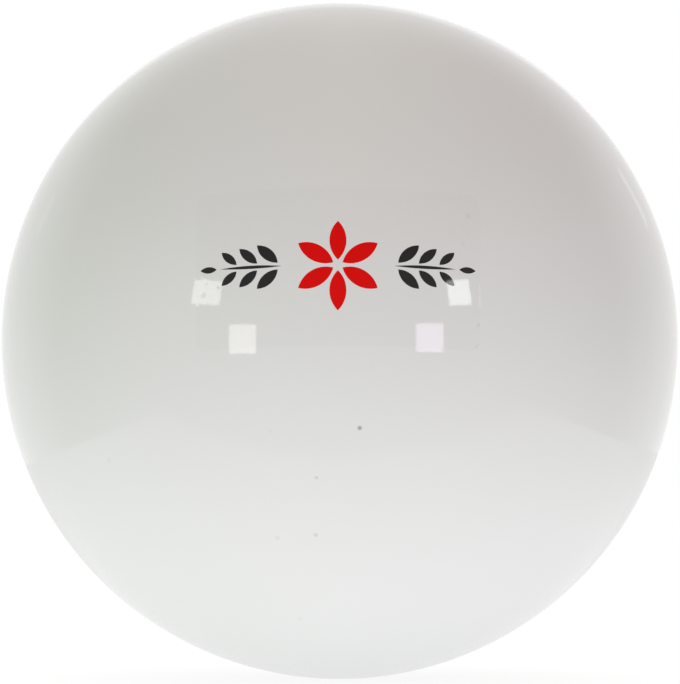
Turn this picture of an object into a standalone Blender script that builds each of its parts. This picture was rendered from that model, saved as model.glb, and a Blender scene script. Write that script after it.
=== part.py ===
"""A smooth field hockey ball, built in the layers of a quilted match ball.

A moulded cork-rubber centre is wound with twine, closed between two cork cups, wound again
and covered by two moulded cups, which a weld bead joins at a tongued and bevelled seam.
Metres, +Z up, origin at the middle of the ball. The side that carries the print faces -Y.
"""

import math

import bpy
import numpy as np

# Sizes of the ball, in metres
BALL_DIAMETER = 0.0730  # 229 mm round: the game allows 224 to 235 mm
COVER_WALL = 0.0050
CORK_WALL = 0.0040
TWINE_DIAMETER = 0.0030

# Seam between the two cover cups
BEAD_WIDTH = 0.0016
BEAD_DEPTH = 0.0012
TONGUE_LENGTH = 0.0015
TONGUE_SHARE = 0.4  # of the flat of the rim, across the wall

# Twine windings
TURN_CLEARANCE = 0.0007  # between neighbouring turns
POLE_TURN_TWINES = 1.6  # radius of the first and the last turn, in diameters of the twine
TWINE_STRIDE = 0.0090  # along the twine between two points of its route
LEAST_POINTS_PER_TURN = 18

# Clearance that pieces keep where they touch
FIT = 0.0003

# Facets: steps once round, and segments from the pole to the rim
COVER_STEPS = 56
COVER_OUTER_SEGMENTS = 14
COVER_INNER_SEGMENTS = 10
CORK_STEPS = 36
CORK_OUTER_SEGMENTS = 9
CORK_INNER_SEGMENTS = 8
CENTRE_STEPS = 28
BEAD_SEGMENTS = 2
ROUTE_SAMPLES_PER_TURN = 400

# Finishes: name, colour, roughness
WHITE_VINYL = ("white_vinyl", (0.80, 0.80, 0.78, 1.0), 0.12)
BUFFED_VINYL = ("buffed_vinyl", (0.78, 0.78, 0.76, 1.0), 0.20)
WOOL_TWINE = ("wool_twine", (0.62, 0.55, 0.42, 1.0), 0.95)
PRESSED_CORK = ("pressed_cork", (0.42, 0.26, 0.14, 1.0), 0.90)
CORK_RUBBER = ("cork_rubber", (0.16, 0.10, 0.07, 1.0), 0.85)

QUARTER_TURN = math.pi / 2


def facet_reach(steps, segments):
    """Share of its radius that a turned hollow keeps at the middle of its facets."""
    return math.cos(math.pi / steps) * math.cos(QUARTER_TURN / segments / 2)


def chord_reach(radius):
    """Share of its radius that a winding keeps between two points of its route."""
    return math.cos(TWINE_STRIDE / radius / 2)


def winding_under(limit):
    """Route radius of a winding whose outside stays within the limit, and how far in it reaches."""
    route = limit - TWINE_DIAMETER / 2
    return route, route * chord_reach(route) - TWINE_DIAMETER / 2


# Radii of the layers, from the outside in
BALL_RADIUS = BALL_DIAMETER / 2
COVER_HOLLOW = BALL_RADIUS - COVER_WALL
OUTER_ROUTE, OUTER_REACH = winding_under(
    COVER_HOLLOW * facet_reach(COVER_STEPS, COVER_INNER_SEGMENTS) - FIT
)
CORK_RADIUS = OUTER_REACH - FIT
CORK_HOLLOW = CORK_RADIUS - CORK_WALL
INNER_ROUTE, INNER_REACH = winding_under(
    CORK_HOLLOW * facet_reach(CORK_STEPS, CORK_INNER_SEGMENTS) - FIT
)
CENTRE_RADIUS = INNER_REACH - FIT

# Half of the clearance between two rims that face each other
RIM_HEIGHT = FIT / 2


def clear_scene():
    """Empties the file of objects."""
    for obj in list(bpy.data.objects):
        bpy.data.objects.remove(obj, do_unlink=True)


def new_collection(name):
    """A collection in the scene."""
    collection = bpy.data.collections.new(name)
    bpy.context.scene.collection.children.link(collection)
    return collection


def new_material(piece, finish):
    """A Principled material for one piece, with the colour and roughness of its finish."""
    name, colour, roughness = finish
    material = bpy.data.materials.new(f"{piece}_{name}")
    material.use_nodes = True
    shader = material.node_tree.nodes["Principled BSDF"]
    shader.inputs["Base Color"].default_value = colour
    shader.inputs["Roughness"].default_value = roughness
    shader.inputs["Metallic"].default_value = 0.0
    material.diffuse_color = colour
    return material


def place(obj, collection, parent, finish, rotation=(0.0, 0.0, 0.0)):
    """Puts a finished object into the ball, turned about its centre, in a material of its own."""
    for other in list(obj.users_collection):
        other.objects.unlink(obj)
    collection.objects.link(obj)
    obj.parent = parent
    obj.rotation_euler = rotation
    obj.data.materials.append(new_material(obj.name, finish))


def arc(radius, start, end, segments):
    """Points of an arc about the origin, from one polar angle to another, as (x, z) pairs."""
    angles = np.linspace(start, end, segments + 1)
    return [(radius * math.sin(angle), radius * math.cos(angle)) for angle in angles]


def polar_angle(radius, height):
    """Polar angle at which a sphere of this radius reaches a height above its middle."""
    return math.acos(height / radius)


def turned(name, profile, steps, closed=False):
    """A solid turned about Z from a profile that runs down its outer side."""
    mesh = bpy.data.meshes.new(name)
    points = [(x, 0.0, z) for x, z in profile]
    edges = [(i, i + 1) for i in range(len(points) - 1)]
    if closed:
        edges.append((len(points) - 1, 0))
    mesh.from_pydata(points, edges, [])
    obj = bpy.data.objects.new(name, mesh)
    screw = obj.modifiers.new("Turn", "SCREW")
    screw.axis = "Z"
    screw.angle = 2 * math.pi
    screw.steps = steps
    screw.render_steps = steps
    screw.use_merge_vertices = True
    screw.merge_threshold = FIT / 30
    screw.use_smooth_shade = True
    return obj


def bead_flank():
    """Outer corner and root of the bead's upper flank, and its normal towards the upper cup."""
    corner = np.array((math.sqrt(BALL_RADIUS**2 - (BEAD_WIDTH / 2) ** 2), BEAD_WIDTH / 2))
    root = np.array((BALL_RADIUS - BEAD_DEPTH, 0.0))
    along = (corner - root) / np.linalg.norm(corner - root)
    return corner, root, np.array((-along[1], along[0]))


def seam_bevel():
    """The bevel of a cover cup, from the sphere down to the rim, one clearance off the bead."""
    corner, root, normal = bead_flank()
    start = root + FIT * normal
    along = (corner - root) / np.linalg.norm(corner - root)
    foot = start + along * (RIM_HEIGHT - start[1]) / along[1]
    # The point of the bevel's line that lies on the sphere
    half = start @ along
    reach = -half + math.sqrt(half**2 - start @ start + BALL_RADIUS**2)
    return tuple(start + reach * along), tuple(foot)


def rim_flat():
    """Inner and outer radius of the flat of a cover rim, inside its bevel."""
    return math.sqrt(COVER_HOLLOW**2 - RIM_HEIGHT**2), seam_bevel()[1][0]


def tongue_walls():
    """Inner and outer radius of the tongue, in the middle of the flat."""
    inner, outer = rim_flat()
    half = (outer - inner) * TONGUE_SHARE / 2
    middle = (inner + outer) / 2
    return middle - half, middle + half


def cover_profile(rim):
    """Profile of a cover cup: outer side, bevel, the rim's own points, and hollow."""
    crest, foot = seam_bevel()
    outer = arc(BALL_RADIUS, 0.0, polar_angle(BALL_RADIUS, crest[1]), COVER_OUTER_SEGMENTS)
    hollow = arc(COVER_HOLLOW, polar_angle(COVER_HOLLOW, RIM_HEIGHT), 0.0, COVER_INNER_SEGMENTS)
    return [*outer, foot, *rim, *hollow]


def groove_rim():
    """Rim points of the front cup, whose groove takes the tongue with clearance all round."""
    inner, outer = tongue_walls()
    floor = TONGUE_LENGTH + RIM_HEIGHT
    return [
        (outer + FIT, RIM_HEIGHT),
        (outer + FIT, floor),
        (inner - FIT, floor),
        (inner - FIT, RIM_HEIGHT),
    ]


def tongue_rim():
    """Rim points of the rear cup, whose tongue stands past the seam."""
    inner, outer = tongue_walls()
    end = RIM_HEIGHT - TONGUE_LENGTH
    return [(outer, RIM_HEIGHT), (outer, end), (inner, end), (inner, RIM_HEIGHT)]


def make_covers(collection, parent):
    """The two moulded cover cups, front with the groove and rear with the tongue."""
    front = turned("cover_front", cover_profile(groove_rim()), COVER_STEPS)
    rear = turned("cover_rear", cover_profile(tongue_rim()), COVER_STEPS)
    place(front, collection, parent, WHITE_VINYL, (QUARTER_TURN, 0.0, 0.0))
    place(rear, collection, parent, WHITE_VINYL, (-QUARTER_TURN, 0.0, 0.0))


def make_seam_bead(collection, parent):
    """The weld bead that fills the bevels of the two cups and is buffed flush with them."""
    corner, root, _ = bead_flank()
    crest = polar_angle(BALL_RADIUS, corner[1])
    section = [*arc(BALL_RADIUS, crest, math.pi - crest, BEAD_SEGMENTS), tuple(root)]
    bead = turned("seam_bead", section, COVER_STEPS, closed=True)
    place(bead, collection, parent, BUFFED_VINYL, (QUARTER_TURN, 0.0, 0.0))


def make_cork_cups(collection, parent):
    """The two cork cups between the windings, whose joint crosses the seam of the cover."""
    rim = polar_angle(CORK_RADIUS, RIM_HEIGHT)
    hollow_rim = polar_angle(CORK_HOLLOW, RIM_HEIGHT)
    profile = [
        *arc(CORK_RADIUS, 0.0, rim, CORK_OUTER_SEGMENTS),
        *arc(CORK_HOLLOW, hollow_rim, 0.0, CORK_INNER_SEGMENTS),
    ]
    for name, side in (("cork_cup_left", -1), ("cork_cup_right", 1)):
        cup = turned(name, profile, CORK_STEPS)
        place(cup, collection, parent, PRESSED_CORK, (0.0, side * QUARTER_TURN, 0.0))


def winding_route(radius):
    """Points of one twine that spirals from pole to pole over a sphere of this radius."""
    first = math.asin(POLE_TURN_TWINES * TWINE_DIAMETER / radius)
    span = math.pi - 2 * first
    turns = math.floor(span * radius / (TWINE_DIAMETER + TURN_CLEARANCE))
    azimuth = np.linspace(0.0, turns * 2 * math.pi, turns * ROUTE_SAMPLES_PER_TURN)
    polar = first + span * azimuth / azimuth[-1]
    # Points are closer together where the turns are small
    density = np.maximum(radius * np.sin(polar) / TWINE_STRIDE, LEAST_POINTS_PER_TURN / (2 * math.pi))
    passed = np.concatenate(([0.0], np.cumsum(density[1:] * np.diff(azimuth))))
    count = math.ceil(passed[-1])
    azimuth = np.interp(np.linspace(0.0, passed[-1], count + 1), passed, azimuth)
    polar = first + span * azimuth / azimuth[-1]
    flat = np.sin(polar)
    return radius * np.column_stack((flat * np.cos(azimuth), flat * np.sin(azimuth), np.cos(polar)))


def least_turn_gap(points):
    """Smallest distance between the surfaces of two turns, measured along the chords."""
    shares = np.linspace(0.0, 1.0, 6)[:-1]
    chords = np.diff(points, axis=0)
    samples = np.concatenate([points[:-1] + share * chords for share in shares])
    order = np.concatenate([np.arange(len(chords)) + share for share in shares])
    apart = np.abs(order[:, None] - order[None, :]) > LEAST_POINTS_PER_TURN / 2
    distance = np.linalg.norm(samples[:, None, :] - samples[None, :, :], axis=2)
    return distance[apart].min() - TWINE_DIAMETER


def make_winding(name, radius, rotation, collection, parent):
    """One layer of twine: a single unbroken tube along its route."""
    points = winding_route(radius)
    curve = bpy.data.curves.new(name, "CURVE")
    curve.dimensions = "3D"
    curve.bevel_depth = TWINE_DIAMETER / 2
    curve.bevel_resolution = 1
    curve.use_fill_caps = True
    spline = curve.splines.new("POLY")
    spline.points.add(len(points) - 1)
    for point, (x, y, z) in zip(spline.points, points):
        point.co = (x, y, z, 1.0)
    place(bpy.data.objects.new(name, curve), collection, parent, WOOL_TWINE, rotation)
    print(f"{name}: least gap between turns {least_turn_gap(points) * 1000:.2f} mm")


def make_windings(collection, parent):
    """The inner winding about X, and the outer one about Z, which crosses the joint of the cork."""
    about_x = (0.0, QUARTER_TURN, 0.0)
    about_z = (0.0, 0.0, 0.0)
    make_winding("inner_winding", INNER_ROUTE, about_x, collection, parent)
    make_winding("outer_winding", OUTER_ROUTE, about_z, collection, parent)


def make_centre(collection, parent):
    """The moulded ball of cork granules and rubber in the middle."""
    bpy.ops.mesh.primitive_uv_sphere_add(
        segments=CENTRE_STEPS, ring_count=CENTRE_STEPS // 2, radius=CENTRE_RADIUS
    )
    centre = bpy.context.object
    centre.name = "cork_centre"
    centre.data.name = "cork_centre"
    centre.data.shade_smooth()
    place(centre, collection, parent, CORK_RUBBER)


def main():
    """Builds the ball from the inside out."""
    clear_scene()
    collection = new_collection("field_hockey_ball")
    middle = bpy.data.objects.new("ball_middle", None)
    collection.objects.link(middle)
    make_centre(collection, middle)
    make_windings(collection, middle)
    make_cork_cups(collection, middle)
    make_covers(collection, middle)
    make_seam_bead(collection, middle)


main()
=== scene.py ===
"""Dressed view of a smooth field hockey ball, in the white light tent where it is shown.

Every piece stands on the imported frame: metres, +Z up, origin at the middle of the ball. The
printed side faces -Y, towards the camera. The ball is dressed from the outside in: two moulded
cover cups with their weld, a clear transfer with its print, and the layers of the core.
"""

import logging
import math
from dataclasses import dataclass, field
from enum import Enum

import bmesh
import bpy
from bmesh.types import BMesh, BMVert
from bpy.types import ID, Material, Node, NodeSocket, NodeTree, Object
from mathutils import Matrix, Vector

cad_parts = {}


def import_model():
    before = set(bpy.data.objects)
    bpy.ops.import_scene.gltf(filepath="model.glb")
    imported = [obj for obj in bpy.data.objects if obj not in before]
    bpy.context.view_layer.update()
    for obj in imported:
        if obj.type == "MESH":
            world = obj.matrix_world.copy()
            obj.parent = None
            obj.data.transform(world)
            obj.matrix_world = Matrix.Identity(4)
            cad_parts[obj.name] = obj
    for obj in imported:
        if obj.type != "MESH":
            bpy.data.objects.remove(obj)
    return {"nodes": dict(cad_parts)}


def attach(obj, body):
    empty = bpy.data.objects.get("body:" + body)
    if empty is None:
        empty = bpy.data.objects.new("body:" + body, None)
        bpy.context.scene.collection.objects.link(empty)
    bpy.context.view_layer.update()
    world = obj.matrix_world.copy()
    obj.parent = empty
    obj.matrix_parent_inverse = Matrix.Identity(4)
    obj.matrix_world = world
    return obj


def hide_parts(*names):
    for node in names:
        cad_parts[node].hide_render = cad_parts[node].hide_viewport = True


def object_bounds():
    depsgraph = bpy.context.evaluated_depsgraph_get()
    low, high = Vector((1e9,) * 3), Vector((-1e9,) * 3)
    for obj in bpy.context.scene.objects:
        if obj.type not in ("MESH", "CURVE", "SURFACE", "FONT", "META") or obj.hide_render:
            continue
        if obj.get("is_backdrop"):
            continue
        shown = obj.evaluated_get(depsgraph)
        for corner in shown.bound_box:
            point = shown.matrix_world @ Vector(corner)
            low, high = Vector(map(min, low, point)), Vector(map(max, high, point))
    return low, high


LOG = logging.getLogger("field_hockey_ball")

# The photograph's frame, and where the ball lies in it
IMAGE_WIDTH_PX = 680
IMAGE_HEIGHT_PX = 684
BALL_MIDDLE_PX = (339.74, 340.88)
BALL_RADIUS_PX = 338.2

MM = 0.001
QUARTER_TURN = math.pi / 2
FULL_TURN = 2 * math.pi
MERGE_DISTANCE = 1e-7
SHARP_ANGLE = math.radians(30)
ROUND_PROFILE = 0.5
HALF_SIDE = 0.5
VINYL_IOR = 1.5
WHITE = "FFFFFF"

BODY = "root"


class Axis(Enum):
    """The way that a turned or wound piece's own axis points in the ball."""

    FRONT = (QUARTER_TURN, "X")
    REAR = (-QUARTER_TURN, "X")
    LEFT = (-QUARTER_TURN, "Y")
    RIGHT = (QUARTER_TURN, "Y")
    UP = (0.0, "Z")

    def turn(self) -> Matrix:
        """Rotation that takes a piece made about +Z to this axis."""
        angle, about = self.value
        return Matrix.Rotation(angle, 4, about)


def linear(hex_colour: str) -> tuple[float, float, float, float]:
    """Turns an sRGB hex colour to linear.

    Args:
        hex_colour: six hex digits.

    Returns:
        The colour as red, green, blue and an alpha of 1.
    """
    shares = [int(hex_colour[i : i + 2], 16) / 255 for i in (0, 2, 4)]
    red, green, blue = [
        share / 12.92 if share <= 0.04045 else ((share + 0.055) / 1.055) ** 2.4 for share in shares
    ]
    return red, green, blue, 1.0


def add_node(
    tree: NodeTree, kind: str, inputs: dict[str | int, object] | None = None, **settings: object
) -> Node:
    """Adds a node with its settings and links.

    Args:
        tree: the node tree that the node goes into.
        kind: the node's Blender type, without ShaderNode in front.
        inputs: for each input socket, a value, the output socket that feeds it, or a node that
            feeds it with the first of its outputs in use.
        settings: values of the node's own properties.

    Returns:
        The new node.
    """
    node = tree.nodes.new(f"ShaderNode{kind}")
    for name, value in settings.items():
        setattr(node, name, value)
    for name, value in (inputs or {}).items():
        if isinstance(value, Node):
            value = next(output for output in value.outputs if output.enabled)
        if isinstance(value, NodeSocket):
            tree.links.new(value, node.inputs[name])
        else:
            node.inputs[name].default_value = value
    return node


def new_material(name: str) -> tuple[Material, NodeTree, NodeSocket]:
    """Starts a node material.

    Args:
        name: the material's name.

    Returns:
        The material, its tree, and the output in it that gives Object coordinates.
    """
    material = bpy.data.materials.new(name)
    material.use_nodes = True
    tree = material.node_tree
    tree.nodes.clear()
    return material, tree, add_node(tree, "TexCoord").outputs["Object"]


def finish_surface(tree: NodeTree, relief: dict[str, object], shading: dict[str, object]) -> None:
    """Ends a material's tree with a shader whose surface has a fine relief.

    Args:
        tree: the material's tree.
        relief: inputs of the relief: Height, from 0 to 1, its Distance in metres and its Strength.
        shading: inputs of the shader.
    """
    bump = add_node(tree, "Bump", {"Strength": 1.0} | relief)
    shader = add_node(tree, "BsdfPrincipled", {"Normal": bump} | shading)
    add_node(tree, "OutputMaterial", {"Surface": shader})


def add_object(name: str, data: ID) -> Object:
    """Puts a new object in the scene.

    Args:
        name: the object's name.
        data: its mesh, curve, lamp or camera.

    Returns:
        The object.
    """
    made = bpy.data.objects.new(name, data)
    bpy.context.scene.collection.objects.link(made)
    return made


def finish_piece(
    name: str, bm: BMesh, material: Material, replaced: str | None = None
) -> None:
    """Makes a smooth-shaded piece that rides on the ball's body.

    Args:
        name: the piece's name.
        bm: its mesh, in the ball's frame. It is freed here.
        material: its finish.
        replaced: the CAD node that it stands for, if any.
    """
    for face in bm.faces:
        face.smooth = True
    for edge in bm.edges:
        edge.smooth = edge.calc_face_angle(0.0) < SHARP_ANGLE
    mesh = bpy.data.meshes.new(name)
    bm.to_mesh(mesh)
    bm.free()
    mesh.materials.append(material)
    piece = add_object(name, mesh)
    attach(piece, BODY)
    if replaced:
        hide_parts(replaced)
    LOG.info("%s: %d vertices, %s", name, len(mesh.vertices), material.name)


@dataclass
class TurnedProfile:
    """A section in the XZ plane, drawn vertex by vertex and then turned about Z."""

    bm: BMesh = field(default_factory=bmesh.new)
    tip: BMVert | None = None

    def start(self, x: float, z: float) -> None:
        """Begins the section at a point."""
        self.tip = self.bm.verts.new((x, 0.0, z))

    def line_to(self, x: float, z: float) -> None:
        """Draws a straight side to a point."""
        self.tip = bmesh.ops.extrude_vert_indiv(self.bm, verts=[self.tip])["verts"][0]
        self.tip.co = (x, 0.0, z)

    def arc_to_height(self, z: float, steps: int) -> None:
        """Draws an arc about the origin down or up to a height.

        Args:
            z: the height.
            steps: straight sides along the arc.
        """
        radius = self.tip.co.length
        start, end = [math.acos(max(-1.0, min(1.0, at / radius))) for at in (self.tip.co.z, z)]
        made = bmesh.ops.spin(
            self.bm, geom=[self.tip], cent=(0, 0, 0), axis=(0, 1, 0), angle=end - start, steps=steps
        )
        self.tip = next(item for item in made["geom_last"] if isinstance(item, BMVert))

    def close(self) -> None:
        """Joins the section's end to its start."""
        self.bm.verts.ensure_lookup_table()
        self.bm.edges.new((self.tip, self.bm.verts[0]))

    def turn(self, steps: int, axis: Axis) -> BMesh:
        """Turns the section once round.

        Args:
            steps: facets once round.
            axis: where the piece's own +Z points in the ball.

        Returns:
            The closed mesh, in the ball's frame.
        """
        drawn = self.bm.verts[:] + self.bm.edges[:]
        once = {"cent": (0, 0, 0), "axis": (0, 0, 1), "angle": FULL_TURN}
        bmesh.ops.spin(self.bm, geom=drawn, steps=steps, use_merge=True, **once)
        bmesh.ops.remove_doubles(self.bm, verts=self.bm.verts, dist=MERGE_DISTANCE)
        bmesh.ops.recalc_face_normals(self.bm, faces=self.bm.faces)
        bmesh.ops.transform(self.bm, matrix=axis.turn(), verts=self.bm.verts)
        return self.bm


@dataclass
class PhotoCamera:
    """The photograph's camera, level with the ball."""

    ball_radius: float
    distance: float = 0.80
    sensor_mm: float = 36.0

    def focal_px(self) -> float:
        """Focal length, in pixels of the photograph."""
        return BALL_RADIUS_PX / math.tan(math.asin(self.ball_radius / self.distance))

    def eye(self) -> Vector:
        """Finds where the camera stands, so that the ball's middle falls on its pixel.

        Returns:
            The camera's place.
        """
        per_px = self.distance / self.focal_px()
        across = (IMAGE_WIDTH_PX / 2 - BALL_MIDDLE_PX[0]) * per_px
        up = (BALL_MIDDLE_PX[1] - IMAGE_HEIGHT_PX / 2) * per_px
        return Vector((across, -self.distance, up))

    def ray_to_ball(self, pixel: tuple[float, float]) -> Vector:
        """Finds the point of the ball that the photograph shows at a pixel.

        Args:
            pixel: across and down from the frame's upper left corner.

        Returns:
            The point, in the ball's frame.
        """
        eye = self.eye()
        across = pixel[0] - IMAGE_WIDTH_PX / 2
        up = IMAGE_HEIGHT_PX / 2 - pixel[1]
        ray = Vector((across, self.focal_px(), up)).normalized()
        along = -eye.dot(ray)
        reach = along - math.sqrt(along**2 - eye.length_squared + self.ball_radius**2)
        return eye + reach * ray

    def place(self) -> None:
        """Makes the camera and hands it to the scene."""
        data = bpy.data.cameras.new("photo_camera")
        data.sensor_fit = "HORIZONTAL"
        data.sensor_width = self.sensor_mm
        data.lens = self.focal_px() * self.sensor_mm / IMAGE_WIDTH_PX
        camera = add_object("photo_camera", data)
        camera.location = self.eye()
        camera.rotation_euler = (QUARTER_TURN, 0.0, 0.0)
        bpy.context.scene.camera = camera


@dataclass(frozen=True)
class Speck:
    """A dark fleck, placed by its pixel in the photograph."""

    pixel: tuple[float, float]
    radius: float
    colour: str
    core_share: float = 0.4

    def draw(self, tree: NodeTree, place: NodeSocket, under: Node, camera: PhotoCamera) -> Node:
        """Draws the fleck over a colour.

        Args:
            tree: the material's tree.
            place: Object coordinates.
            under: node that gives the colour round the fleck.
            camera: the camera that took the photograph.

        Returns:
            The node that gives the colour with the fleck in it.
        """
        spot = camera.ray_to_ball(self.pixel)
        away = add_node(tree, "VectorMath", {0: place, 1: tuple(spot)}, operation="DISTANCE")
        core = self.core_share * self.radius
        inward = {"Value": away, "From Min": self.radius, "From Max": core}
        near = add_node(tree, "MapRange", inward, interpolation_type="SMOOTHSTEP")
        tones = {"Factor": near, "A": under, "B": linear(self.colour)}
        return add_node(tree, "Mix", tones, data_type="RGBA")


COVER_SPECKS = (
    Speck(pixel=(359.7, 428.0), radius=0.31 * MM, colour="B2B0AD"),
    Speck(pixel=(316.5, 477.6), radius=0.27 * MM, colour="DBDAD7"),
    Speck(pixel=(315.7, 535.1), radius=0.35 * MM, colour="DDDCD3"),
    Speck(pixel=(277.1, 537.6), radius=0.40 * MM, colour="E6E5E3"),
    Speck(pixel=(300.0, 618.8), radius=0.46 * MM, colour="E8E8E6"),
    Speck(pixel=(270.5, 431.0), radius=0.29 * MM, colour="E8E8E5"),
    Speck(pixel=(108.8, 460.4), radius=0.40 * MM, colour="E8E9E6"),
)
FILM_SPECKS = (
    Speck(pixel=(468.5, 216.4), radius=0.40 * MM, colour="E3E4E2"),
    Speck(pixel=(462.5, 243.6), radius=0.28 * MM, colour="E4E6E4"),
    Speck(pixel=(478.4, 325.0), radius=0.28 * MM, colour="E0E1DF"),
    Speck(pixel=(477.0, 346.5), radius=0.34 * MM, colour="E3E5E3"),
)


@dataclass(frozen=True)
class MouldedVinyl:
    """Plasticised PVC, injection moulded in a polished mould.

    It gives the eye a near-white, glossy skin with a long, faint ripple where it shrank, hardly
    any change of tone and the odd dark fleck of burnt resin.
    """

    name: str = "moulded_vinyl"
    colour: str = "ECEEED"
    tone: str = "EAECEB"
    tone_size: float = 14 * MM
    tone_detail: float = 3.0
    roughness: float = 0.045
    ripple_size: float = 1.6 * MM
    ripple_detail: float = 1.0
    ripple_height: float = 0.0006 * MM

    def make(self, specks: tuple[Speck, ...], camera: PhotoCamera) -> Material:
        """Builds the material.

        Args:
            specks: flecks in the moulding.
            camera: the camera that took the photograph.

        Returns:
            The material.
        """
        material, tree, place = new_material(self.name)
        cloudy = {"Vector": place, "Scale": 1 / self.tone_size, "Detail": self.tone_detail}
        clouds = add_node(tree, "TexNoise", cloudy)
        tones = {"Factor": clouds, "A": linear(self.colour), "B": linear(self.tone)}
        skin = add_node(tree, "Mix", tones, data_type="RGBA")
        for speck in specks:
            skin = speck.draw(tree, place, skin, camera)
        wavy = {"Vector": place, "Scale": 1 / self.ripple_size, "Detail": self.ripple_detail}
        ripple = add_node(tree, "TexNoise", wavy)
        finish_surface(
            tree,
            {"Height": ripple, "Distance": self.ripple_height},
            {"Base Color": skin, "Roughness": self.roughness, "IOR": VINYL_IOR},
        )
        return material


@dataclass(frozen=True)
class BuffedWeld:
    """The same PVC, run in as a weld bead and buffed flush.

    It gives the eye a satin band, with fine buffing lines along the seam.
    """

    name: str = "buffed_vinyl_weld"
    colour: str = "EAECEB"
    line_colour: str = "DBDDDB"
    line_spacing: float = 0.22 * MM
    line_length: float = 9 * MM
    line_detail: float = 2.0
    line_height: float = 0.002 * MM
    roughness: float = 0.16

    def make(self) -> Material:
        """Builds the material of the weld, whose lines run round the ball's Y axis.

        Returns:
            The material.
        """
        material, tree, place = new_material(self.name)
        # Drawn coarser than a buffing mop's real lines, which are too fine to show
        along = 1 / self.line_length
        scale = (along, 1 / self.line_spacing, along)
        stretch = add_node(tree, "Mapping", {"Vector": place, "Scale": scale})
        drawn = {"Vector": stretch, "Scale": 1.0, "Detail": self.line_detail}
        lines = add_node(tree, "TexNoise", drawn)
        tones = {"Factor": lines, "A": linear(self.colour), "B": linear(self.line_colour)}
        tone = add_node(tree, "Mix", tones, data_type="RGBA")
        finish_surface(
            tree,
            {"Height": lines, "Distance": self.line_height},
            {"Base Color": tone, "Roughness": self.roughness, "IOR": VINYL_IOR},
        )
        return material


@dataclass(frozen=True)
class TransferCoat:
    """A thin lacquer coat, clear or holding ink, pressed on as a transfer.

    It gives the eye the gloss of the cover, with a few flat blisters in a spot near its left end,
    where it was pressed down less well. They break up the reflection of the lamp there.
    """

    name: str
    colour: str
    patchy_colour: str
    gloss: float = 0.5
    patch_size: float = 0.9 * MM
    patch_detail: float = 4.0
    blister_size: float = 0.9 * MM
    blister_detail: float = 1.0
    blister_height: float = 0.010 * MM
    blister_from: float = 0.58
    blister_full: float = 0.74
    blister_pattern: float = 1.7
    loose_pixel: tuple[float, float] = (205.5, 292.0)
    loose_reach: float = 1.9 * MM
    loose_core: float = 1.1 * MM
    roughness: float = 0.05

    def make(self, specks: tuple[Speck, ...], camera: PhotoCamera) -> Material:
        """Builds the material.

        Args:
            specks: flecks under the coat.
            camera: the camera that took the photograph.

        Returns:
            The material.
        """
        material, tree, place = new_material(self.name)
        patchy = {"Vector": place, "Scale": 1 / self.patch_size, "Detail": self.patch_detail}
        patches = add_node(tree, "TexNoise", patchy)
        tones = {"Factor": patches, "A": linear(self.colour), "B": linear(self.patchy_colour)}
        tone = add_node(tree, "Mix", tones, data_type="RGBA")
        for speck in specks:
            tone = speck.draw(tree, place, tone, camera)
        lumpy = {"Vector": place, "Scale": 1 / self.blister_size, "Detail": self.blister_detail}
        lumpy["W"] = self.blister_pattern
        lumps = add_node(tree, "TexNoise", lumpy, noise_dimensions="4D")
        swelling = {"Value": lumps, "From Min": self.blister_from, "From Max": self.blister_full}
        blisters = add_node(tree, "MapRange", swelling, interpolation_type="SMOOTHSTEP")
        spot = camera.ray_to_ball(self.loose_pixel)
        away = add_node(tree, "VectorMath", {0: place, 1: tuple(spot)}, operation="DISTANCE")
        inward = {"Value": away, "From Min": self.loose_reach, "From Max": self.loose_core}
        inward["To Max"] = self.blister_height
        height = add_node(tree, "MapRange", inward, interpolation_type="SMOOTHSTEP")
        relief = {"Height": blisters, "Distance": height}
        shading = {"Base Color": tone, "Roughness": self.roughness, "IOR": VINYL_IOR}
        finish_surface(tree, relief, shading | {"Specular IOR Level": self.gloss})
        return material


@dataclass(frozen=True)
class WoolTwine:
    """Woollen twine, spun and laid in three plies.

    It gives the eye a dull, hairy cream strand, with darker hairs here and there.
    """

    name: str = "wool_twine"
    colour: str = "D3C5A4"
    shade: str = "9C8A66"
    hair_size: float = 0.35 * MM
    hair_height: float = 0.12 * MM
    hair_strength: float = 0.6
    hair_detail: float = 4.0
    hair_fineness: float = 0.7
    roughness: float = 0.95
    sheen: float = 0.25

    def make(self) -> Material:
        """Builds the material.

        Returns:
            The material.
        """
        material, tree, place = new_material(self.name)
        hairy = {"Vector": place, "Scale": 1 / self.hair_size, "Detail": self.hair_detail}
        hairy["Roughness"] = self.hair_fineness
        hairs = add_node(tree, "TexNoise", hairy)
        tones = {"Factor": hairs, "A": linear(self.colour), "B": linear(self.shade)}
        tone = add_node(tree, "Mix", tones, data_type="RGBA")
        finish_surface(
            tree,
            {"Height": hairs, "Distance": self.hair_height, "Strength": self.hair_strength},
            {"Base Color": tone, "Roughness": self.roughness, "Sheen Weight": self.sheen},
        )
        return material


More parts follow.
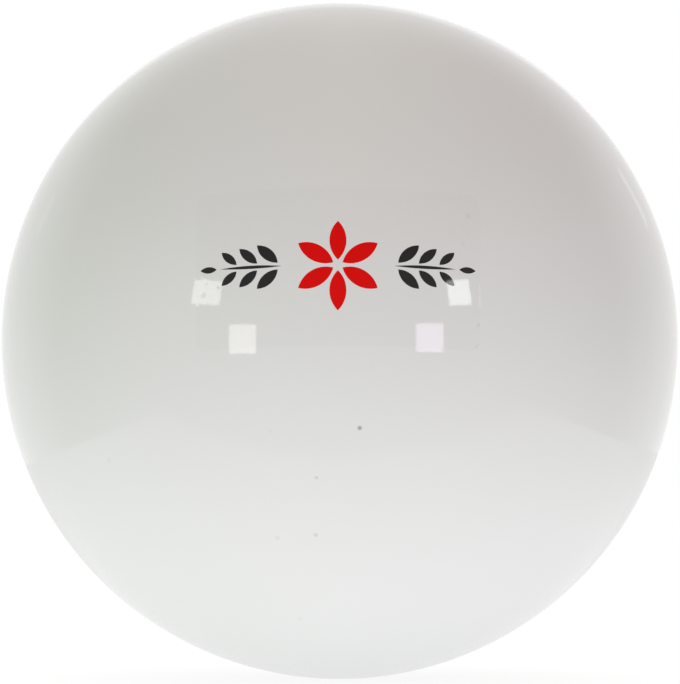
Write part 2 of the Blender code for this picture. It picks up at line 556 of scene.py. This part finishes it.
@dataclass(frozen=True)
class CorkGranules:
    """Cork granules pressed or moulded together.

    It gives the eye torn grains of several browns with pits in them, parted by a darker binder.
    """

    name: str
    colours: tuple[str, ...]
    binder: str
    granule_size: float = 1.9 * MM
    tear_size: float = 0.9 * MM
    tear_detail: float = 2.0
    tear_depth: float = 0.8 * MM
    binder_width: float = 0.10 * MM
    pit_size: float = 0.4 * MM
    pit_detail: float = 3.0
    relief: float = 0.15 * MM
    relief_strength: float = 0.8
    roughness: float = 0.9

    def make(self) -> Material:
        """Builds the material.

        Returns:
            The material.
        """
        material, tree, place = new_material(self.name)
        ragged = {"Vector": place, "Scale": 1 / self.tear_size, "Detail": self.tear_detail}
        tears = add_node(tree, "TexNoise", ragged).outputs["Color"]
        shifted = {0: tears, 1: (self.tear_depth,) * 3, 2: place}
        torn = add_node(tree, "VectorMath", shifted, operation="MULTIPLY_ADD")
        where = {"Vector": torn, "Scale": 1 / self.granule_size}
        granules = add_node(tree, "TexVoronoi", where)
        joints = add_node(tree, "TexVoronoi", where, feature="DISTANCE_TO_EDGE")
        pick = add_node(tree, "SeparateColor", {"Color": granules.outputs["Color"]})
        browns = add_node(tree, "ValToRGB", {"Fac": pick})
        browns.color_ramp.interpolation = "CONSTANT"
        stops = browns.color_ramp.elements
        for i, colour in enumerate(self.colours):
            stop = stops[i] if i < len(stops) else stops.new(1.0)
            stop.position = i / len(self.colours)
            stop.color = linear(colour)
        pitted = {"Vector": place, "Scale": 1 / self.pit_size, "Detail": self.pit_detail}
        pits = add_node(tree, "TexNoise", pitted)
        edge = self.binder_width / self.granule_size
        body = add_node(tree, "MapRange", {"Value": joints, "From Max": edge})
        tones = {"Factor": body, "A": linear(self.binder), "B": browns}
        tone = add_node(tree, "Mix", tones, data_type="RGBA")
        grain = {"Factor": 1.0, "A": tone, "B": pits}
        mottled = add_node(tree, "Mix", grain, data_type="RGBA", blend_type="SOFT_LIGHT")
        rough = add_node(tree, "Math", {0: body, 1: pits}, operation="MULTIPLY")
        finish_surface(
            tree,
            {"Height": rough, "Distance": self.relief, "Strength": self.relief_strength},
            {"Base Color": mottled, "Roughness": self.roughness},
        )
        return material


@dataclass
class Cover:
    """The two moulded cover cups and the weld that fills their bevels."""

    radius: float
    wall: float = 5.0 * MM
    weld_width: float = 1.6 * MM
    weld_depth: float = 1.2 * MM
    weld_fit: float = 0.04 * MM
    rim_fit: float = 0.15 * MM
    tongue_length: float = 1.5 * MM
    tongue_thickness: float = 1.5 * MM
    tongue_fit: float = 0.3 * MM
    edge_round: float = 0.12 * MM
    steps: int = 256
    outer_segments: int = 96
    inner_segments: int = 40
    weld_segments: int = 6

    def hollow(self) -> float:
        """Radius of the inside of the cups."""
        return self.radius - self.wall

    def bevel_crest(self) -> tuple[float, float]:
        """The corner of a cup between its outside and its bevel."""
        height = self.weld_width / 2 + self.weld_fit
        return math.sqrt(self.radius**2 - height**2), height

    def tongue_walls(self) -> tuple[float, float]:
        """Inner and outer radius of the tongue, in the middle of the flat of the rim."""
        middle = (self.hollow() + self.radius - self.weld_depth) / 2
        return middle - self.tongue_thickness / 2, middle + self.tongue_thickness / 2

    def groove_rim(self) -> list[tuple[float, float]]:
        """Draws the rim of the front cup, with a groove that takes the tongue.

        Returns:
            The rim's corners, from its bevel to its hollow.
        """
        inner, outer = self.tongue_walls()
        inner -= self.tongue_fit
        outer += self.tongue_fit
        floor = self.tongue_length + self.tongue_fit
        return [(outer, self.rim_fit), (outer, floor), (inner, floor), (inner, self.rim_fit)]

    def tongue_rim(self) -> list[tuple[float, float]]:
        """Draws the rim of the rear cup, with a tongue that stands past the seam.

        Returns:
            The rim's corners, from its bevel to its hollow.
        """
        inner, outer = self.tongue_walls()
        end = -self.tongue_length
        return [(outer, self.rim_fit), (outer, end), (inner, end), (inner, self.rim_fit)]

    def build_cup(self, axis: Axis, rim: list[tuple[float, float]]) -> BMesh:
        """Turns one cup.

        Args:
            axis: where the cup's pole points.
            rim: the rim's own corners.

        Returns:
            The cup's mesh.
        """
        crest_x, crest_z = self.bevel_crest()
        profile = TurnedProfile()
        profile.start(0.0, self.radius)
        profile.arc_to_height(crest_z, self.outer_segments)
        profile.line_to(crest_x - self.edge_round, crest_z - self.edge_round)
        profile.line_to(self.radius - self.weld_depth, self.rim_fit)
        for x, z in rim:
            profile.line_to(x, z)
        profile.line_to(math.sqrt(self.hollow() ** 2 - self.rim_fit**2), self.rim_fit)
        profile.arc_to_height(self.hollow(), self.inner_segments)
        return profile.turn(self.steps, axis)

    def build_weld(self) -> BMesh:
        """Turns the weld bead, flush with the cups and filling their bevels.

        Returns:
            The bead's mesh.
        """
        half = self.weld_width / 2
        profile = TurnedProfile()
        profile.start(math.sqrt(self.radius**2 - half**2), half)
        profile.arc_to_height(-half, self.weld_segments)
        profile.line_to(self.radius - self.weld_depth, 0.0)
        profile.close()
        return profile.turn(self.steps, Axis.FRONT)

    def dress(self, vinyl: Material, weld: Material) -> None:
        """Puts the two cups and the weld in their finishes.

        Args:
            vinyl: finish of the cups.
            weld: finish of the weld.
        """
        front = self.build_cup(Axis.FRONT, self.groove_rim())
        finish_piece("cover_front_moulding", front, vinyl, "cover_front")
        rear = self.build_cup(Axis.REAR, self.tongue_rim())
        finish_piece("cover_rear_moulding", rear, vinyl, "cover_rear")
        finish_piece("seam_weld", self.build_weld(), weld, "seam_bead")


@dataclass
class Transfer:
    """The clear transfer on the front of the ball, and the ornament printed in it.

    Flat outlines are drawn about the transfer's middle, X to the right and Y up, and then laid on
    the ball along the way that the transfer faces.
    """

    radius: float
    azimuth: float = math.radians(-0.30)
    elevation: float = math.radians(12.4)
    width: float = 29.4 * MM
    height: float = 16.65 * MM
    corner: float = 1.2 * MM
    corner_segments: int = 5
    film: float = 0.008 * MM
    lip: float = 0.002 * MM
    lip_width: float = 0.035 * MM
    ink: float = 0.003 * MM
    cell: float = 0.3 * MM
    arc_steps: int = 12
    petals: int = 6
    petal_start: float = 0.55 * MM
    petal_end: float = 4.75 * MM
    petal_half_width: float = 0.88 * MM
    sprig_start: float = 5.8 * MM
    sprig_end: float = 12.2 * MM
    stem_half_width: float = 0.17 * MM
    leaf_pairs: int = 3
    leaf_length: float = 2.9 * MM
    leaf_half_width: float = 0.58 * MM
    leaf_taper: float = 0.14
    leaf_angle: float = math.radians(42)
    leaf_off_stem: float = 0.36 * MM
    first_leaf_share: float = 0.2

    def draw_leaf(self, bm: BMesh, start: Vector, end: Vector, half_width: float) -> None:
        """Draws a leaf between two points, bounded by two equal arcs.

        Args:
            bm: the flat outline, which gets one more face.
            start: one tip of the leaf.
            end: the other tip.
            half_width: from the leaf's middle line to each arc.
        """
        half_chord = (end - start).length / 2
        bend = (half_chord**2 + half_width**2) / (2 * half_width)
        across = Vector((start.y - end.y, end.x - start.x, 0.0)).normalized()
        tip = bm.verts.new(start)
        for side in (-1, 1):
            middle = (start + end) / 2 + side * across * (bend - half_width)
            arc = {"cent": middle, "axis": (0, 0, side), "angle": 2 * math.asin(half_chord / bend)}
            bmesh.ops.spin(bm, geom=[tip], steps=self.arc_steps, **arc)
        drawn = [vert for vert in bm.verts if vert.is_wire]
        bmesh.ops.remove_doubles(bm, verts=drawn, dist=MERGE_DISTANCE)
        bmesh.ops.contextual_create(bm, geom=[edge for edge in bm.edges if edge.is_wire])

    def lay_on_ball(self, bm: BMesh, base: float, thickness: float, lip: float = 0.0) -> BMesh:
        """Cuts a flat outline into cells, lays it on the ball and raises it to a thin coat.

        Args:
            bm: the outline, filled, in the XY plane.
            base: height of its underside over the ball.
            thickness: of the coat.
            lip: how much thicker the coat is along its edge.

        Returns:
            The same mesh, closed.
        """
        for direction in (Vector((1, 0, 0)), Vector((0, 1, 0))):
            places = [vert.co.dot(direction) for vert in bm.verts]
            first = math.ceil(min(places) / self.cell)
            last = math.floor(max(places) / self.cell)
            for count in range(first, last + 1):
                whole = bm.verts[:] + bm.edges[:] + bm.faces[:]
                plane = {"plane_co": direction * count * self.cell, "plane_no": direction}
                bmesh.ops.bisect_plane(bm, geom=whole, dist=MERGE_DISTANCE, **plane)
        raise_up = Matrix.Rotation(-self.elevation, 4, "X")
        facing = Matrix.Rotation(self.azimuth, 4, "Z") @ raise_up @ Axis.FRONT.turn()
        underside = self.radius + base
        for vert in bm.verts:
            depth = math.sqrt(underside**2 - vert.co.length_squared)
            vert.co = facing @ Vector((vert.co.x, vert.co.y, depth))
        made = bmesh.ops.extrude_face_region(bm, geom=bm.faces[:], use_keep_orig=True)["geom"]
        raised = {item for item in made if isinstance(item, BMVert)}
        for vert in raised:
            at_edge = any(edge.other_vert(vert) not in raised for edge in vert.link_edges)
            rise = thickness + lip if at_edge else thickness
            vert.co *= 1 + rise / underside
        bmesh.ops.recalc_face_normals(bm, faces=bm.faces)
        return bm

    def build_film(self) -> BMesh:
        """Makes the clear carrier of the print, a rectangle with rounded corners and a low lip.

        Returns:
            The film's mesh.
        """
        bm = bmesh.new()
        bmesh.ops.create_grid(bm, x_segments=1, y_segments=1, size=HALF_SIDE)
        bmesh.ops.scale(bm, vec=(self.width, self.height, 1.0), verts=bm.verts)
        curve = {"offset": self.corner, "segments": self.corner_segments, "profile": ROUND_PROFILE}
        bmesh.ops.bevel(bm, geom=bm.verts[:], affect="VERTICES", material=-1, **curve)
        bmesh.ops.inset_region(
            bm, faces=bm.faces[:], thickness=self.lip_width, use_boundary=True, use_even_offset=True
        )
        return self.lay_on_ball(bm, 0.0, self.film, self.lip)

    def build_rosette(self) -> BMesh:
        """Draws compass-drawn petals about the middle of the transfer.

        Returns:
            The rosette's mesh.
        """
        bm = bmesh.new()
        for count in range(self.petals):
            way = Matrix.Rotation(count * FULL_TURN / self.petals, 3, "Z") @ Vector((0, 1, 0))
            self.draw_leaf(bm, way * self.petal_start, way * self.petal_end, self.petal_half_width)
        return self.lay_on_ball(bm, self.film, self.ink)

    def build_sprig(self, side: int) -> BMesh:
        """Draws a straight sprig of leaves beside the rosette.

        Args:
            side: 1 for the right, -1 for the left.

        Returns:
            The sprig's mesh.
        """
        bm = bmesh.new()
        way = Vector((side, 0, 0))
        self.draw_leaf(bm, way * self.sprig_start, way * self.sprig_end, self.stem_half_width)
        spacing = (self.sprig_end - self.sprig_start) / self.leaf_pairs
        for count in range(self.leaf_pairs):
            size = 1 - count * self.leaf_taper
            for edge in (-1, 1):
                start = way * (self.sprig_start + (count + self.first_leaf_share) * spacing)
                start.y = edge * self.leaf_off_stem
                spread = Matrix.Rotation(side * edge * self.leaf_angle, 3, "Z") @ way
                end = start + spread * self.leaf_length * size
                self.draw_leaf(bm, start, end, self.leaf_half_width * size)
        tip = way * (self.sprig_end + self.leaf_off_stem)
        size = 1 - self.leaf_pairs * self.leaf_taper
        self.draw_leaf(bm, tip, tip + way * self.leaf_length * size, self.leaf_half_width * size)
        return self.lay_on_ball(bm, self.film, self.ink)

    def dress(self, film: Material, red: Material, black: Material) -> None:
        """Puts the transfer and its print in their finishes.

        Args:
            film: finish of the clear film.
            red: finish of the rosette.
            black: finish of the sprigs.
        """
        finish_piece("transfer_film", self.build_film(), film)
        finish_piece("print_rosette", self.build_rosette(), red)
        finish_piece("print_sprig_left", self.build_sprig(-1), black)
        finish_piece("print_sprig_right", self.build_sprig(1), black)


@dataclass
class TwineWinding:
    """One layer of twine, wound from pole to pole."""

    name: str
    node: str
    axis: Axis
    route_radius: float
    diameter: float = 3.0 * MM
    clearance: float = 0.7 * MM
    pole_turn: float = 4.8 * MM
    plies: int = 3
    lay_length: float = 11.0 * MM
    ply_depth: float = 0.24
    stride: float = 1.1 * MM
    ply_points: int = 5

    def route(self) -> list[Vector]:
        """Works out the twine's spiral about +Z.

        Returns:
            Points along it, an even stride apart.
        """
        radius = self.route_radius
        first = math.asin(self.pole_turn / radius)
        span = math.pi - 2 * first
        turns = math.floor(span * radius / (self.diameter + self.clearance))
        climb = span / (turns * FULL_TURN)
        points = []
        azimuth = 0.0
        while azimuth <= turns * FULL_TURN:
            polar = first + climb * azimuth
            flat = radius * math.sin(polar)
            height = radius * math.cos(polar)
            points.append(Vector((flat * math.cos(azimuth), flat * math.sin(azimuth), height)))
            azimuth += self.stride / math.hypot(flat, climb * radius)
        return points

    def section(self) -> Object:
        """Draws the outline of the laid plies.

        Returns:
            A flat curve to sweep along the route.
        """
        curve = bpy.data.curves.new(f"{self.name}_section", "CURVE")
        curve.dimensions = "2D"
        count = self.plies * self.ply_points
        spline = curve.splines.new("POLY")
        spline.use_cyclic_u = True
        spline.points.add(count - 1)
        for i, point in enumerate(spline.points):
            angle = FULL_TURN * i / count
            dip = self.ply_depth * (1 - abs(math.cos(self.plies * angle / 2)))
            reach = self.diameter / 2 * (1 - dip)
            point.co = (reach * math.cos(angle), reach * math.sin(angle), 0.0, 1.0)
        return add_object(curve.name, curve)

    def build(self) -> BMesh:
        """Sweeps the laid plies along the route, turning once a lay length.

        Returns:
            The twine's mesh.
        """
        curve = bpy.data.curves.new(self.name, "CURVE")
        curve.dimensions = "3D"
        curve.bevel_mode = "OBJECT"
        curve.use_fill_caps = True
        section = self.section()
        curve.bevel_object = section
        route = self.route()
        spline = curve.splines.new("POLY")
        spline.points.add(len(route) - 1)
        for i, (point, place) in enumerate(zip(spline.points, route)):
            point.co = (*place, 1.0)
            point.tilt = i * self.stride / self.lay_length % 1.0 * FULL_TURN
        swept = add_object(f"{self.name}_sweep", curve)
        bpy.context.view_layer.update()
        solved = swept.evaluated_get(bpy.context.evaluated_depsgraph_get())
        mesh = bpy.data.meshes.new_from_object(solved)
        for used in (swept, section):
            bpy.data.objects.remove(used, do_unlink=True)
        bm = bmesh.new()
        bm.from_mesh(mesh)
        bpy.data.meshes.remove(mesh)
        bmesh.ops.remove_doubles(bm, verts=bm.verts, dist=MERGE_DISTANCE)
        bmesh.ops.recalc_face_normals(bm, faces=bm.faces)
        bmesh.ops.transform(bm, matrix=self.axis.turn(), verts=bm.verts)
        return bm

    def dress(self, wool: Material) -> None:
        """Puts the winding in its finish."""
        finish_piece(self.name, self.build(), wool, self.node)


@dataclass
class CorkShell:
    """The two pressed cork cups between the windings."""

    radius: float = 27.41 * MM
    wall: float = 4.0 * MM
    rim_fit: float = 0.15 * MM
    rim_chamfer: float = 0.4 * MM
    steps: int = 120
    outer_segments: int = 36
    inner_segments: int = 30

    def build_cup(self, axis: Axis) -> BMesh:
        """Turns one cup, with the corners of its rim broken.

        Args:
            axis: where the cup's pole points.

        Returns:
            The cup's mesh.
        """
        hollow = self.radius - self.wall
        cut = self.rim_chamfer
        profile = TurnedProfile()
        profile.start(0.0, self.radius)
        profile.arc_to_height(self.rim_fit + cut, self.outer_segments)
        profile.line_to(math.sqrt(self.radius**2 - self.rim_fit**2) - cut, self.rim_fit)
        profile.line_to(math.sqrt(hollow**2 - self.rim_fit**2) + cut, self.rim_fit)
        profile.line_to(math.sqrt(hollow**2 - (self.rim_fit + cut) ** 2), self.rim_fit + cut)
        profile.arc_to_height(hollow, self.inner_segments)
        return profile.turn(self.steps, axis)

    def dress(self, cork: Material) -> None:
        """Puts the two cups in their finish.

        Args:
            cork: the finish.
        """
        for name, axis in (("left", Axis.LEFT), ("right", Axis.RIGHT)):
            cup = self.build_cup(axis)
            finish_piece(f"cork_shell_{name}", cup, cork, f"cork_cup_{name}")


@dataclass
class Centre:
    """The moulded cork-rubber ball in the middle, with the flash line of its mould."""

    radius: float = 19.14 * MM
    flash_width: float = 0.8 * MM
    flash_height: float = 0.2 * MM
    steps: int = 96
    segments: int = 24

    def build(self) -> BMesh:
        """Turns the ball about +Z, with its flash line round the equator.

        Returns:
            The ball's mesh.
        """
        half = self.flash_width / 2
        crest = self.radius
        body = crest - self.flash_height
        profile = TurnedProfile()
        profile.start(0.0, body)
        profile.arc_to_height(half, self.segments)
        profile.line_to(crest, half / 2)
        profile.line_to(crest, -half / 2)
        profile.line_to(math.sqrt(body**2 - half**2), -half)
        profile.arc_to_height(-body, self.segments)
        return profile.turn(self.steps, Axis.UP)

    def dress(self, compound: Material) -> None:
        """Puts the ball in its finish."""
        finish_piece("centre_moulding", self.build(), compound, "cork_centre")


@dataclass(frozen=True)
class PanelLamp:
    """A flat lamp that faces the ball, placed by the pixel where the photograph mirrors it."""

    name: str
    pixel: tuple[float, float]
    size: tuple[float, float]
    radiance: float
    tint: str
    distance: float = 0.60

    def place(self, camera: PhotoCamera) -> None:
        """Hangs the lamp in the scene.

        Args:
            camera: the camera that sees its reflection.
        """
        width, height = self.size
        data = bpy.data.lights.new(f"lamp_{self.name}", "AREA")
        data.shape = "RECTANGLE"
        data.size = width
        data.size_y = height
        data.energy = self.radiance * math.pi * width * height
        data.color = linear(self.tint)[:3]
        lamp = add_object(data.name, data)
        spot = camera.ray_to_ball(self.pixel)
        way = (spot - camera.eye()).normalized().reflect(spot.normalized())
        lamp.location = spot + way * self.distance
        lamp.rotation_euler = way.to_track_quat("Z", "Y").to_euler()
        lamp.visible_camera = False


@dataclass(frozen=True)
class TentCloth:
    """Diffusing cloth, lit from outside: how bright it looks along one axis of the scene.

    Each stop is a place from -1 to 1 along the axis and the colour that the ball sees there.
    """

    stops: tuple[tuple[float, str], ...]

    def hang(self, tree: NodeTree, along: NodeSocket) -> Node:
        """Adds the cloth to the tent.

        Args:
            tree: the world's node tree.
            along: a direction's place along the cloth's axis, from -1 to 1.

        Returns:
            The node that gives the cloth's colour in that direction.
        """
        share = add_node(tree, "MapRange", {"Value": along, "From Min": -1.0})
        cloth = add_node(tree, "ValToRGB", {"Fac": share})
        elements = cloth.color_ramp.elements
        for i, (place, colour) in enumerate(self.stops):
            element = elements[i] if i < len(elements) else elements.new(1.0)
            element.position = (place + 1) / 2
            element.color = linear(colour)
        return cloth


@dataclass
class Studio:
    """The light tent: a white board under the ball that glows and has painted shadows in its glow,
    bright paper behind it, and its lamps.

    The table and the walls change from the camera's side, -1, to the back, 1, and the roof from
    the left, -1, to the right, 1, in one cloth over the camera and another over the back. Two
    lamps stand on each side of the camera, and three dim ones behind the ball.
    """

    floor_height: float
    camera: PhotoCamera
    level: float = 1.276
    table: TentCloth = TentCloth(
        ((-1.0, "CDCCCC"), (-0.6, "D5D5D5"), (0.1, "B1AFAF"), (0.4, "B5B3B3"), (0.75, "DADADA"))
    )
    walls: TentCloth = TentCloth(
        (
            (-1.0, "B5B3B1"),
            (-0.6, "BCBABB"),
            (0.1, "8D8A8B"),
            (0.35, "959392"),
            (0.55, "C7C7C6"),
            (0.75, "E2E2E2"),
            (1.0, "E6E6E6"),
        )
    )
    front_roof: TentCloth = TentCloth(((-0.6, "818380"), (0.0, "A79383"), (0.6, "896A61")))
    back_roof: TentCloth = TentCloth(((-0.6, "B0B0B1"), (0.0, "F6F5F3"), (0.6, "B2A7A3")))
    table_below: float = -0.40
    roof_from: float = 0.30
    roof_full: float = 0.80
    paper_from: float = 0.80
    paper_full: float = 0.95
    left_cast: str = "546A3C"
    left_from: float = -0.60
    board_left: float = -0.092
    board_right: float = 0.103
    board_front: float = -0.0635
    board_back: float = 0.500
    # The board's glow gets darker from the front to behind the ball, a painted shadow
    board_front_level: float = 1.13
    board_shadowed_back_level: float = 0.87
    board_levels_off: float = 0.080
    # Painted shadow in the glow round the ball's foot, and a fainter one that the camera sees
    contact_shade: float = 0.23
    contact_reach: float = 0.050
    seen_shade: float = 0.09
    shade_share: float = 0.12
    shade_level: float = 0.06
    lamps: tuple[PanelLamp, ...] = (
        PanelLamp("left_high", pixel=(206.7, 292.4), size=(0.109, 0.081), radiance=4.5, tint="FCFFF5"),
        PanelLamp("left_low", pixel=(242.5, 339.0), size=(0.100, 0.100), radiance=4.5, tint="FFFDF5"),
        PanelLamp("right_high", pixel=(459.2, 292.6), size=(0.084, 0.086), radiance=6.2, tint="F8FFFA"),
        PanelLamp("right_low", pixel=(430.0, 337.6), size=(0.101, 0.099), radiance=4.9, tint="F6E4FF"),
        PanelLamp("rear_left", pixel=(45.0, 215.0), size=(0.040, 0.060), radiance=0.15, tint="FAFFFA"),
        PanelLamp("rear_right", pixel=(634.0, 197.0), size=(0.040, 0.070), radiance=0.28, tint=WHITE),
        PanelLamp("rear_top", pixel=(340.0, 4.3), size=(0.270, 0.160), radiance=0.11, tint=WHITE),
    )

    def board_paper(self) -> Material:
        """Makes white paper whose own glow lights the ball from below, standing in for a light table,
        and which the camera sees as plain white.

        The glow has painted shadows: it is darker towards the back of the board, behind the ball,
        and darker round the ball's foot, where the camera sees a fainter painted shadow. The
        paper's diffuse share keeps the ball's real shadow.

        Returns:
            The board's material.
        """
        material, tree, place = new_material("white_paper_board")
        backward = add_node(tree, "SeparateXYZ", {"Vector": place}).outputs["Y"]
        # Painted shadow: the glow gets darker from the board's front to behind the ball
        depth = {"Value": backward, "From Min": self.board_front, "From Max": self.board_levels_off}
        depth["To Min"] = self.board_front_level - self.shade_level
        depth["To Max"] = self.board_shadowed_back_level - self.shade_level
        level = add_node(tree, "MapRange", depth)
        # Painted shadow: the glow is dimmer round the ball's foot
        foot = (0.0, 0.0, self.floor_height)
        away = add_node(tree, "VectorMath", {0: place, 1: foot}, operation="DISTANCE")
        reach = {"Value": away, "From Max": self.contact_reach}
        painted_dimming = add_node(tree, "MapRange", reach | {"To Min": 1 - self.contact_shade})
        lit = add_node(tree, "Math", {0: level, 1: painted_dimming}, operation="MULTIPLY")
        white_level = 1 - self.shade_level
        # The camera sees a fainter painted shadow round the ball's foot
        fade = reach | {"To Min": white_level - self.seen_shade, "To Max": white_level}
        seen = add_node(tree, "MapRange", fade, interpolation_type="SMOOTHSTEP")
        direct = add_node(tree, "LightPath").outputs["Is Camera Ray"]
        strength = add_node(tree, "Mix", {"Factor": direct, "A": lit, "B": seen})
        # The glow lights the ball from below, standing in for a light table
        glow = add_node(tree, "Emission", {"Strength": strength})
        share = self.shade_share
        paper = add_node(tree, "BsdfDiffuse", {"Color": (share, share, share, 1.0)})
        both = add_node(tree, "AddShader", {0: glow, 1: paper})
        add_node(tree, "OutputMaterial", {"Surface": both})
        return material

    def lay_board(self) -> None:
        """Lays the white board that the ball stands on."""
        bm = bmesh.new()
        bmesh.ops.create_grid(bm, x_segments=1, y_segments=1, size=HALF_SIDE)
        width = self.board_right - self.board_left
        depth = self.board_back - self.board_front
        middle = (self.board_left + width / 2, self.board_front + depth / 2, self.floor_height)
        bmesh.ops.scale(bm, vec=(width, depth, 1.0), verts=bm.verts)
        bmesh.ops.translate(bm, vec=middle, verts=bm.verts)
        mesh = bpy.data.meshes.new("white_board")
        bm.to_mesh(mesh)
        bm.free()
        mesh.materials.append(self.board_paper())
        board = add_object("white_board", mesh)
        board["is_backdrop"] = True

    def join_cloths(self, tree: NodeTree, axes: Node) -> Node:
        """Joins the cloths of the tent, from the table up to its roof.

        Args:
            tree: the world's node tree.
            axes: node that gives a direction's X, Y and Z.

        Returns:
            The node that gives the tent's colour in that direction.
        """
        sideways, backward, upward = [axes.outputs[name] for name in "XYZ"]
        walls = self.walls.hang(tree, backward)
        table = self.table.hang(tree, backward)
        front_roof = self.front_roof.hang(tree, sideways)
        back_roof = self.back_roof.hang(tree, sideways)
        leftward = {"Value": sideways, "From Min": self.left_from, "From Max": -1.0}
        left = add_node(tree, "MapRange", leftward)
        tones = {"Factor": left, "A": walls, "B": linear(self.left_cast)}
        cast = add_node(tree, "Mix", tones, data_type="RGBA", blend_type="ADD")
        lowered = add_node(tree, "MapRange", {"Value": upward, "From Max": self.table_below})
        lower = add_node(tree, "Mix", {"Factor": lowered, "A": cast, "B": table}, data_type="RGBA")
        behind = add_node(tree, "MapRange", {"Value": backward, "From Min": -1.0})
        roofs = {"Factor": behind, "A": front_roof, "B": back_roof}
        roof = add_node(tree, "Mix", roofs, data_type="RGBA")
        climb = {"Value": upward, "From Min": self.roof_from, "From Max": self.roof_full}
        raised = add_node(tree, "MapRange", climb, interpolation_type="SMOOTHSTEP")
        return add_node(tree, "Mix", {"Factor": raised, "A": lower, "B": roof}, data_type="RGBA")

    def hang_tent(self) -> None:
        """Surrounds the scene with the tent.

        The camera, and what the ball mirrors from close behind it, see plain white paper instead.
        """
        world = bpy.data.worlds.new("light_tent")
        world.use_nodes = True
        tree = world.node_tree
        tree.nodes.clear()
        way = add_node(tree, "TexCoord").outputs["Generated"]
        axes = add_node(tree, "SeparateXYZ", {"Vector": way})
        tent = self.join_cloths(tree, axes)
        path = add_node(tree, "LightPath")
        rays = {0: path.outputs["Is Camera Ray"], 1: path.outputs["Is Transmission Ray"]}
        direct = add_node(tree, "Math", rays, operation="MAXIMUM")
        back = {"Value": axes.outputs["Y"], "From Min": self.paper_from, "From Max": self.paper_full}
        paper = add_node(tree, "MapRange", back, interpolation_type="SMOOTHSTEP")
        shown = {0: path.outputs["Is Glossy Ray"], 1: paper, 2: direct}
        plain = add_node(tree, "Math", shown, operation="MULTIPLY_ADD", use_clamp=True)
        lit = add_node(tree, "Background", {"Color": tent, "Strength": self.level})
        white = add_node(tree, "Background", {"Color": linear(WHITE)})
        seen = add_node(tree, "MixShader", {0: plain, 1: lit, 2: white})
        add_node(tree, "OutputWorld", {"Surface": seen})
        bpy.context.scene.world = world

    def set_up(self) -> None:
        """Sets up the board, the tent and the lamps."""
        bpy.context.scene.view_settings.view_transform = "Standard"
        self.lay_board()
        self.hang_tent()
        for lamp in self.lamps:
            lamp.place(self.camera)


def main() -> None:
    """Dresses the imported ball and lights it."""
    logging.basicConfig(level=logging.INFO, format="%(name)s: %(message)s")
    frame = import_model()
    cad_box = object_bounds()
    LOG.info("dressing %d packed pieces", len(frame["nodes"]))
    low, high = cad_box
    radius = (high.x - low.x) / 2
    camera = PhotoCamera(radius)
    camera.place()
    vinyl = MouldedVinyl().make(COVER_SPECKS, camera)
    Cover(radius).dress(vinyl, BuffedWeld().make())
    Transfer(radius).dress(
        TransferCoat("clear_transfer_lacquer", "EAECEB", "E8EAE9").make(FILM_SPECKS, camera),
        TransferCoat("red_transfer_ink", "EB0503", "E30302", gloss=0.12).make((), camera),
        TransferCoat("black_transfer_ink", "0C0B0B", "090808").make((), camera),
    )
    wool = WoolTwine().make()
    TwineWinding("outer_twine", "outer_winding", Axis.UP, route_radius=29.55 * MM).dress(wool)
    cork_browns = ("C9A06F", "BC8F5C", "B08250", "9A6C3F", "7C5230")
    CorkShell().dress(CorkGranules("pressed_cork", cork_browns, "6B4526").make())
    TwineWinding("inner_twine", "inner_winding", Axis.RIGHT, route_radius=21.41 * MM).dress(wool)
    dark_browns = ("8A6038", "2B2522", "6E4A2A", "342B26")
    compound = CorkGranules("cork_rubber_compound", dark_browns, "231D1A", granule_size=1.5 * MM)
    Centre().dress(compound.make())
    Studio(low.z, camera).set_up()


if __name__ == "__main__":
    main()
